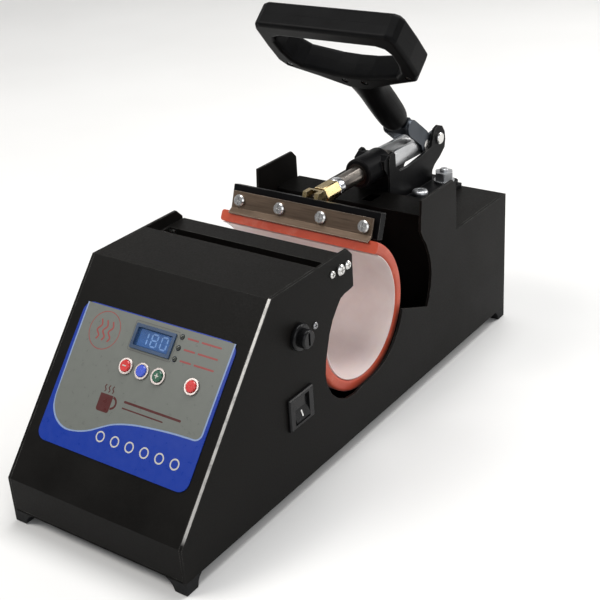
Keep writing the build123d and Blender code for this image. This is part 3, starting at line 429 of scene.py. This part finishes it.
BEVEL = {
    "side_plate_left": 0.5, "side_plate_right": 0.5, "front_cover": 0.35, "rear_cover": 0.5, "front_bar": 0.5,
    "rear_bridge": 0.5, "clamp_frame": 0.45, "clamp_spacer": 0.4, "press_bar": 0.9, "press_lug": 0.5,
    "panel_overlay": 0.0, "press_strip": 0.25, "lever_arm": 0.4, "link_pair": 0.35, "switch_housing": 0.3,
    "switch_rocker": 0.5, "fuse_holder": 0.3, "fuse_cap": 0.3, "lock_collar": 0.2, "adjuster_nut": 0.35,
    "frame_bolts": 0.2, "frame_nuts": 0.35, "rubber_feet": 0.8, "power_inlet": 0.4, "base_tray": 0.3,
    "plunger_rod": 0.3, "display_bezel": 0.15, "button_collars": 0.15,
}
for n, o in NODES.items():
    o.data.materials.clear()
    o.data.materials.append(M[NODE_MAT[n]])
    w = BEVEL.get(n, 0.0)
    if w > 0:
        wd = o.modifiers.new("weld", "WELD")
        wd.merge_threshold = 0.000004
        # flat faces become single faces, so that the rounded edges run evenly along them
        dc = o.modifiers.new("flats", "DECIMATE")
        dc.decimate_type = "DISSOLVE"
        dc.angle_limit = math.radians(0.4)
        bv = o.modifiers.new("bevel", "BEVEL")
        bv.width = w * 0.001
        bv.segments = 2
        bv.limit_method = "ANGLE"
        bv.angle_limit = math.radians(38)
        bv.use_clamp_overlap = True
        bv.harden_normals = True
        bv.loop_slide = False
        bv.miter_outer = "MITER_ARC"


# ---------------------------------------------------------------------------
# mesh helpers
# ---------------------------------------------------------------------------
def new_obj(name, verts, faces, mats, smooth=True, midx=None):
    me = bpy.data.meshes.new(name)
    me.from_pydata([tuple(v) for v in verts], [], faces)
    me.validate()
    me.update()
    bm = bmesh.new()
    bm.from_mesh(me)
    bmesh.ops.recalc_face_normals(bm, faces=bm.faces)
    bm.to_mesh(me)
    bm.free()
    for m in mats:
        me.materials.append(m)
    for i, p in enumerate(me.polygons):
        p.use_smooth = smooth
        if midx:
            p.material_index = midx[i]
    o = bpy.data.objects.new(name, me)
    bpy.context.scene.collection.objects.link(o)
    return o


def auto_smooth(o, deg=35):
    me = o.data
    me.set_sharp_from_angle(angle=math.radians(deg))


def film(name, loops, place, h0, h1, mat, body="housing"):
    """thin printed layer: 2-D outline with holes, filled, from height h0 to h1 above the slope.
    loops: list of closed (x, s) outlines, the first one outer, the rest holes"""
    cu = bpy.data.curves.new(name, "CURVE")
    cu.dimensions = "2D"
    cu.fill_mode = "BOTH"
    for lp in loops:
        sp = cu.splines.new("POLY")
        sp.points.add(len(lp) - 1)
        for i, (a, b) in enumerate(lp):
            sp.points[i].co = (a, b, 0, 1)
        sp.use_cyclic_u = True
    ob = bpy.data.objects.new(name + "_c", cu)
    bpy.context.scene.collection.objects.link(ob)
    bpy.context.view_layer.update()
    me = bpy.data.meshes.new_from_object(ob.evaluated_get(bpy.context.evaluated_depsgraph_get()))
    bpy.data.objects.remove(ob)
    bm = bmesh.new()
    bm.from_mesh(me)
    bmesh.ops.remove_doubles(bm, verts=bm.verts, dist=0.002)
    bmesh.ops.recalc_face_normals(bm, faces=bm.faces)
    ret = bmesh.ops.extrude_face_region(bm, geom=list(bm.faces))
    up = {v for v in ret["geom"] if isinstance(v, bmesh.types.BMVert)}
    for v in bm.verts:
        v.co = place(v.co.x, v.co.y, h1 if v in up else h0)
    bmesh.ops.recalc_face_normals(bm, faces=bm.faces)
    bm.to_mesh(me)
    bm.free()
    me.name = name
    me.materials.clear()
    me.materials.append(mat)
    o = bpy.data.objects.new(name, me)
    bpy.context.scene.collection.objects.link(o)
    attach(o, body)
    return o


def circle(cx, cy, r, n=40, a0=0.0):
    return [(cx + r * math.cos(a0 + 2 * math.pi * k / n), cy + r * math.sin(a0 + 2 * math.pi * k / n)) for k in range(n)]


def rrect(x0, y0, x1, y1, r, n=8):
    out = []
    for (cx, cy, a) in ((x1 - r, y1 - r, 0), (x0 + r, y1 - r, 90), (x0 + r, y0 + r, 180), (x1 - r, y0 + r, 270)):
        for k in range(n + 1):
            t = math.radians(a + 90 * k / n)
            out.append((cx + r * math.cos(t), cy + r * math.sin(t)))
    return out


def catmull(pts, n=10, closed=False):
    out = []
    m = len(pts)
    rng = range(m) if closed else range(m - 1)
    for i in rng:
        p0 = pts[(i - 1) % m] if closed else pts[max(i - 1, 0)]
        p1 = pts[i]
        p2 = pts[(i + 1) % m] if closed else pts[i + 1]
        p3 = pts[(i + 2) % m] if closed else pts[min(i + 2, m - 1)]
        for k in range(n):
            t = k / n
            out.append(tuple(0.5 * ((2 * p1[j]) + (-p0[j] + p2[j]) * t + (2 * p0[j] - 5 * p1[j] + 4 * p2[j] - p3[j]) * t * t
                                    + (-p0[j] + 3 * p1[j] - 3 * p2[j] + p3[j]) * t ** 3) for j in range(len(p1))))
    if not closed:
        out.append(tuple(pts[-1]))
    return out


def ribbon(pts, w):
    """closed outline of a line of width w through pts"""
    L, R = [], []
    for i, p in enumerate(pts):
        a = pts[max(i - 1, 0)]
        b = pts[min(i + 1, len(pts) - 1)]
        dx, dy = b[0] - a[0], b[1] - a[1]
        d = math.hypot(dx, dy) or 1
        nx, ny = -dy / d * w / 2, dx / d * w / 2
        L.append((p[0] + nx, p[1] + ny))
        R.append((p[0] - nx, p[1] - ny))
    return L + R[::-1]


# ---------------------------------------------------------------------------
# printed panel: pale field with a wave, rim, generic marks
# ---------------------------------------------------------------------------
BTN = {"minus": (-11.8, 87.2), "set": (0.9, 87.2), "plus": (13.7, 87.2), "start": (39.2, 87.6)}
LEDS = [(20.4, 113.6), (20.4, 106.7), (20.4, 99.8)]
DISP = (1.0, 106.5)
H = 0.55     # top of the overlay sheet above the slope
holes = [circle(x, s, 4.7) for (x, s) in BTN.values()] + [circle(x, s, 1.75, 24) for (x, s) in LEDS]
holes.append(rrect(DISP[0] - 14.1, DISP[1] - 6.4, DISP[0] + 14.1, DISP[1] + 6.4, 0.5, 3))
wave = catmull([(-56.2, 58.0), (-54.4, 51.0), (-49.0, 44.5), (-41.0, 41.0), (-32.0, 41.4), (-22.3, 44.4), (-14.1, 48.7), (-6.9, 52.3),
                (2.0, 55.0), (14.0, 57.2), (34.0, 59.2), (48.0, 59.9)], 8)


def field_outline(g):
    """pale field grown by g"""
    top = 118.4
    pts = [(-57.0 - g, top), (-56.8 - g, 90.0)]
    pts += [(x - g * 0.7 if x < -30 else x, s - g) for (x, s) in wave]
    for k in range(9):
        t = math.radians(-90 + 90 * k / 8)
        pts.append((52.6 + (4.2 + g) * math.cos(t), 64.2 + (4.2 + g) * math.sin(t)))
    pts += [(57.0 + g, 90.0), (57.4 + g, top)]
    return pts


film("panel_halo", [field_outline(1.0)] + holes, S, H, H + 0.03, M["halo"])
film("panel_field", [field_outline(0.0)] + holes, S, H + 0.03, H + 0.06, M["field"])
T0, T1 = H + 0.06, H + 0.09

# round heat mark: thin ring and three rising waves
film("mark_ring", [circle(-37.6, 104.0, 12.2, 60), circle(-37.6, 104.0, 11.7, 60)], S, T0, T1, M["ink_red"])
for i, dx in enumerate((-4.6, 0.0, 4.6)):
    wv = catmull([(-37.6 + dx + a, 104.0 + b) for (a, b) in ((0, -6.4), (1.3, -3.8), (-1.2, -0.6), (1.2, 2.8), (-0.2, 6.4))], 6)
    film("mark_wave_%d" % i, [ribbon(wv, 1.1)], S, T0, T1, M["ink_red"])
# display surround line and short dashes beside the lamps
film("display_line", [rrect(DISP[0] - 17.2, DISP[1] - 9.4, DISP[0] + 17.2, DISP[1] + 9.4, 1.2, 4),
                      rrect(DISP[0] - 16.9, DISP[1] - 9.1, DISP[0] + 16.9, DISP[1] + 9.1, 1.0, 4)], S, T0, T1, M["ink_line"])
for j, (x, s) in enumerate(LEDS):
    for i, (a, b) in enumerate(((24.5, 33.0), (35.0, 50.0))):
        film("lamp_dash_%d_%d" % (j, i), [rrect(a, s - 0.55, b, s + 0.55, 0.5, 3)], S, T0, T1, M["ink_red"])
# generic picture of a mug with rising heat
mx, ms = -18.0, 62.5
body_o = [(mx - 5, ms + 5.4), (mx - 5, ms - 3.4)] + [(mx - 3.4 + 1.6 * math.cos(math.radians(t)), ms - 3.8 + 1.6 * math.sin(math.radians(t))) for t in range(180, 271, 15)] + \
         [(mx + 3.4 + 1.6 * math.cos(math.radians(t)), ms - 3.8 + 1.6 * math.sin(math.radians(t))) for t in range(270, 361, 15)] + [(mx + 5, ms + 5.4)]
film("icon_mug", [body_o], S, T0, T1, M["ink_dark"])
hd = [(mx + 4.6 + 4.0 * math.cos(math.radians(t)), ms + 1.2 + 3.6 * math.sin(math.radians(t))) for t in range(-80, 81, 10)]
film("icon_handle", [ribbon(hd, 1.3)], S, T0, T1, M["ink_dark"])
for i, dx in enumerate((-2.6, 0.6, 3.6)):
    wv = catmull([(mx - 0.4 + dx + a, ms + 6.6 + b) for (a, b) in ((0, 0), (0.7, 1.3), (-0.6, 2.8), (0.2, 4.4))], 5)
    film("icon_heat_%d" % i, [ribbon(wv, 0.7)], S, T0, T1, M["ink_dark"])
# plain rules in the lower part of the field, and rings in the blue band
film("rule_a", [rrect(-4.0, 66.2, 40.0, 67.6, 0.6, 3)], S, T0, T1, M["ink_dark"])
film("rule_b", [rrect(-4.0, 62.6, 28.0, 63.4, 0.35, 3)], S, T0, T1, M["ink_dark"])
for i in range(6):
    cx = -12.0 + 11.6 * i
    film("band_ring_%d" % i, [circle(cx, 43.0, 3.4, 28), circle(cx, 43.0, 2.5, 28)], S, H, H + 0.03, M["ink_white"])

# seven-segment digits behind the window
SEG = {"0": "abcdef", "1": "bc", "2": "abged", "3": "abgcd", "4": "fgbc", "5": "afgcd", "6": "afgedc", "7": "abc", "8": "abcdefg", "9": "abcdfg"}


def segs(cx, cs, w, h, t):
    x0, x1, y0, y1, ym = cx - w / 2, cx + w / 2, cs - h / 2, cs + h / 2, cs
    g = 0.25

    def hor(y):
        return [(x0 + g, y), (x0 + g + t / 2, y + t / 2), (x1 - g - t / 2, y + t / 2), (x1 - g, y), (x1 - g - t / 2, y - t / 2), (x0 + g + t / 2, y - t / 2)]

    def ver(x, a, b):
        return [(x, a + g), (x + t / 2, a + g + t / 2), (x + t / 2, b - g - t / 2), (x, b - g), (x - t / 2, b - g - t / 2), (x - t / 2, a + g + t / 2)]

    return {"a": hor(y1), "g": hor(ym), "d": hor(y0), "b": ver(x1, ym, y1), "c": ver(x1, y0, ym), "f": ver(x0, ym, y1), "e": ver(x0, y0, ym)}


for i, ch in enumerate("180"):
    sg = segs(DISP[0] - 7.6 + 7.6 * i, DISP[1], 4.4, 7.6, 0.95)
    for c in SEG[ch]:
        film("digit_%d_%s" % (i, c), [sg[c]], S, -0.24, -0.16, M["digit"])


# plus and minus pressed into the button caps
def bar_on_cap(name, x, s, w, h, body):
    film(name, [rrect(x - w / 2, s - h / 2, x + w / 2, s + h / 2, min(w, h) * 0.4, 3)], S, 2.69, 2.78, M["ink_white"], body)


bar_on_cap("cap_minus", *BTN["minus"], 3.0, 0.7, "key_minus")
px, ps = BTN["plus"]
film("cap_plus", [[(px - 1.5, ps - 0.35), (px - 0.35, ps - 0.35), (px - 0.35, ps - 1.5), (px + 0.35, ps - 1.5), (px + 0.35, ps - 0.35), (px + 1.5, ps - 0.35),
                   (px + 1.5, ps + 0.35), (px + 0.35, ps + 0.35), (px + 0.35, ps + 1.5), (px - 0.35, ps + 1.5), (px - 0.35, ps + 0.35), (px - 1.5, ps + 0.35)]],
     S, 2.69, 2.78, M["ink_white"], "key_plus")

# ---------------------------------------------------------------------------
# heating band: one C-shaped moulding with rounded rims, and its facing
# ---------------------------------------------------------------------------
RCY, RCZ = 197.0, 86.0
TT, MM, S0 = (0.342, 0.940), (0.940, -0.342), (222.0, 132.5)


def sp2(s, m):
    return (S0[0] + TT[0] * s + MM[0] * m, S0[1] + TT[1] * s + MM[1] * m)


def polar(r, deg):
    return (RCY + r * math.cos(math.radians(deg)), RCZ + r * math.sin(math.radians(deg)))


def c_band(name, pairs, hw, rim, mats, nx, steps=5, seam=None):
    """pairs: (inner, outer) points along the band in (y, z). Rim edges are rounded with radius rim."""
    cols = []
    xs = []
    for k in range(steps + 1):
        a = math.radians(90 * k / steps)
        xs.append((-hw + rim * (1 - math.sin(a)), rim * (1 - math.cos(a))))
    xs = xs[::-1] if xs[0][0] > xs[-1][0] else xs
    prof = sorted(xs, key=lambda q: q[0])
    left = [(x, ins) for (x, ins) in prof]
    # left end: at x=-hw the profile is inset by rim, at x=-hw+rim not inset
    left = []
    for k in range(steps + 1):
        a = math.radians(90 * k / steps)
        left.append((-hw + rim * (1 - math.cos(a)), rim * (1 - math.sin(a))))
    mid = [(-hw + rim + (2 * hw - 2 * rim) * k / nx, 0.0) for k in range(1, nx)]
    right = [(-x, ins) for (x, ins) in left[::-1]]
    cols = left + mid + right
    n = len(pairs)
    verts, faces, midx = [], [], []

    def pt(i, u, ins):
        """u 0 inner, 1 outer; ends of the C are rounded too"""
        a, b = pairs[i]
        dx, dy = b[0] - a[0], b[1] - a[1]
        d = math.hypot(dx, dy) or 1
        ins = min(ins, d * 0.45)
        if u == 0:
            return (a[0] + dx / d * ins, a[1] + dy / d * ins)
        return (b[0] - dx / d * ins, b[1] - dy / d * ins)

    ring = 2 * n
    for (x, ins) in cols:
        for i in range(n):
            q = pt(i, 0, ins)
            verts.append(P(x, q[0], q[1]))
        for i in range(n - 1, -1, -1):
            q = pt(i, 1, ins)
            verts.append(P(x, q[0], q[1]))
    for c in range(len(cols) - 1):
        for i in range(ring):
            j = (i + 1) % ring
            faces.append((c * ring + i, c * ring + j, (c + 1) * ring + j, (c + 1) * ring + i))
            midx.append(0)
    for base, flip in ((0, False), ((len(cols) - 1) * ring, True)):
        for i in range(n - 1):
            f = (base + i, base + i + 1, base + ring - 2 - i, base + ring - 1 - i)
            faces.append(f[::-1] if flip else f)
            midx.append(0)
    o = new_obj(name, verts, faces, mats, True, midx)
    auto_smooth(o, 50)
    return o


R_IN, PAD_T, R_BAND, R_OUT, HB = 41.2, 0.8, 42.05, 50.0, 65.0
pairs = []
# front end, cut upright beside the front bar
a_in = math.degrees(math.acos((180.4 - RCY) / R_BAND))
a_out = math.degrees(math.acos((180.4 - RCY) / R_OUT))
rear_a = 62.5
N = 132
for k in range(N + 1):
    t = k / N
    ai = a_in + (360 + rear_a - a_in) * t
    ao = a_out + (360 + rear_a - a_out) * t
    pairs.append((polar(R_BAND, ai), polar(R_OUT, ao)))
band = c_band("heater_wrap", pairs, HB, 2.2, [M["orange"], M["glue"]], 26)
# the tab that the strip clamps
tabp = [(sp2(-4.5 + 15.0 * k / 6, 1.36), sp2(-4.5 + 15.0 * k / 6, 3.6)) for k in range(7)]
tab = c_band("heater_wrap_tab", tabp, 55.9, 0.6, [M["orange"]], 8, 3)
ppairs = []
for k in range(N + 1):
    a = 114.0 + (360 + 58.0 - 114.0) * k / N
    ppairs.append((polar(R_IN, a), polar(R_IN + PAD_T, a)))
pad = c_band("heater_facing", ppairs, HB - 0.4, 0.3, [M["liner"]], 26, 2)
# hide the CAD band and facing, which the meshes above replace
for o, nm in ((band, "heater_band"), (pad, "heater_pad")):
    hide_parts(nm)
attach(tab, "press")
for o in (band, pad):
    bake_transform(o)

# white stroke on the lower half of the rocker
def on_rocker(a, b, h):
    """a along Y, b up the lower half face, h above it"""
    return P(71.6 - 0.321 * b + 0.947 * h, 116.5 + a, 58.8 + 0.947 * b + 0.321 * h)


film("rocker_stroke", [rrect(-0.55, -2.1, 0.55, 2.1, 0.2, 3)], on_rocker, -0.02, 0.05, M["white_mark"], "rocker")

# ---------------------------------------------------------------------------
# stage, light, camera
# ---------------------------------------------------------------------------
ground = cad_lo.z
fl = bpy.data.meshes.new("floor")
vs, fs = [], []
R = 3.0
prof = [(-2.2, 0.0), (1.4, 0.0)]
for k in range(1, 13):
    t = math.radians(90 * k / 12)
    prof.append((1.4 + 0.9 * math.sin(t), 0.9 * (1 - math.cos(t))))
prof.append((2.3, 3.2))
for (y, z) in prof:
    for x in (-R, R):
        vs.append((x, y, ground - 0.0004 + z))
for i in range(len(prof) - 1):
    fs.append((2 * i, 2 * i + 1, 2 * i + 3, 2 * i + 2))
fl.from_pydata(vs, [], fs)
for p in fl.polygons:
    p.use_smooth = True
floor = bpy.data.objects.new("floor", fl)
bpy.context.scene.collection.objects.link(floor)
floor.rotation_euler = (0, 0, math.radians(36.88))
fm = Mat("floor_paper")
nz = fm.noise(3.0, 3, 0.5)
fm.base(fm.mix(fm.mapr(nz, 0.3, 0.7, 0, 1), (0.74, 0.735, 0.72), (0.78, 0.775, 0.76)))
fm.set(Roughness=0.55, Specular_IOR_Level=0.35)
fl.materials.append(fm.m)

w = bpy.data.worlds.new("studio")
w.use_nodes = True
bg = w.node_tree.nodes["Background"]
bg.inputs[0].default_value = (0.93, 0.95, 1.0, 1)
bg.inputs[1].default_value = 0.31
bpy.context.scene.world = w


def area(name, loc, target, size, power, col=(1, 1, 1), size_y=None):
    d = bpy.data.lights.new(name, "AREA")
    d.energy = power
    d.color = col
    d.size = size
    if size_y:
        d.shape = "RECTANGLE"
        d.size_y = size_y
    o = bpy.data.objects.new(name, d)
    bpy.context.scene.collection.objects.link(o)
    o.location = loc
    o.rotation_euler = (Vector(target) - Vector(loc)).to_track_quat("-Z", "Y").to_euler()
    return o


area("key", (-0.9, -0.9, 1.5), (0, 0, 0), 0.9, 20, (1.0, 0.98, 0.95))
area("fill", (1.5, -0.7, 0.7), (0, 0, 0.02), 1.0, 6.5, (0.95, 0.97, 1.0))
area("top", (0.1, 0.5, 1.7), (0, 0.05, 0.02), 1.1, 26, (1.0, 1.0, 1.0))
area("rim", (0.9, 1.5, 0.9), (0, 0.1, 0.05), 0.7, 12, (1.0, 0.98, 0.96))

cam = bpy.data.cameras.new("camera")
camo = bpy.data.objects.new("camera", cam)
bpy.context.scene.collection.objects.link(camo)
fwd = Vector((-0.53806306, 0.71723457, -0.44278969))
right = Vector((0.81598934, 0.57491164, -0.06031581))
up = Vector((-0.21130437, 0.39376538, 0.89459448))
mw = Matrix.Identity(4)
for i in range(3):
    mw[i][0], mw[i][1], mw[i][2] = right[i], up[i], -fwd[i]
loc = P(444.05, -374.54, 439.88)
for i in range(3):
    mw[i][3] = loc[i]
camo.matrix_world = mw
cam.sensor_width = 36.0
cam.lens = 1181.14 / 600.0 * 36.0
cam.clip_start, cam.clip_end = 0.02, 20.0
bpy.context.scene.camera = camo
bpy.context.scene.view_settings.view_transform = "Standard"
bpy.context.scene.view_settings.look = "None"
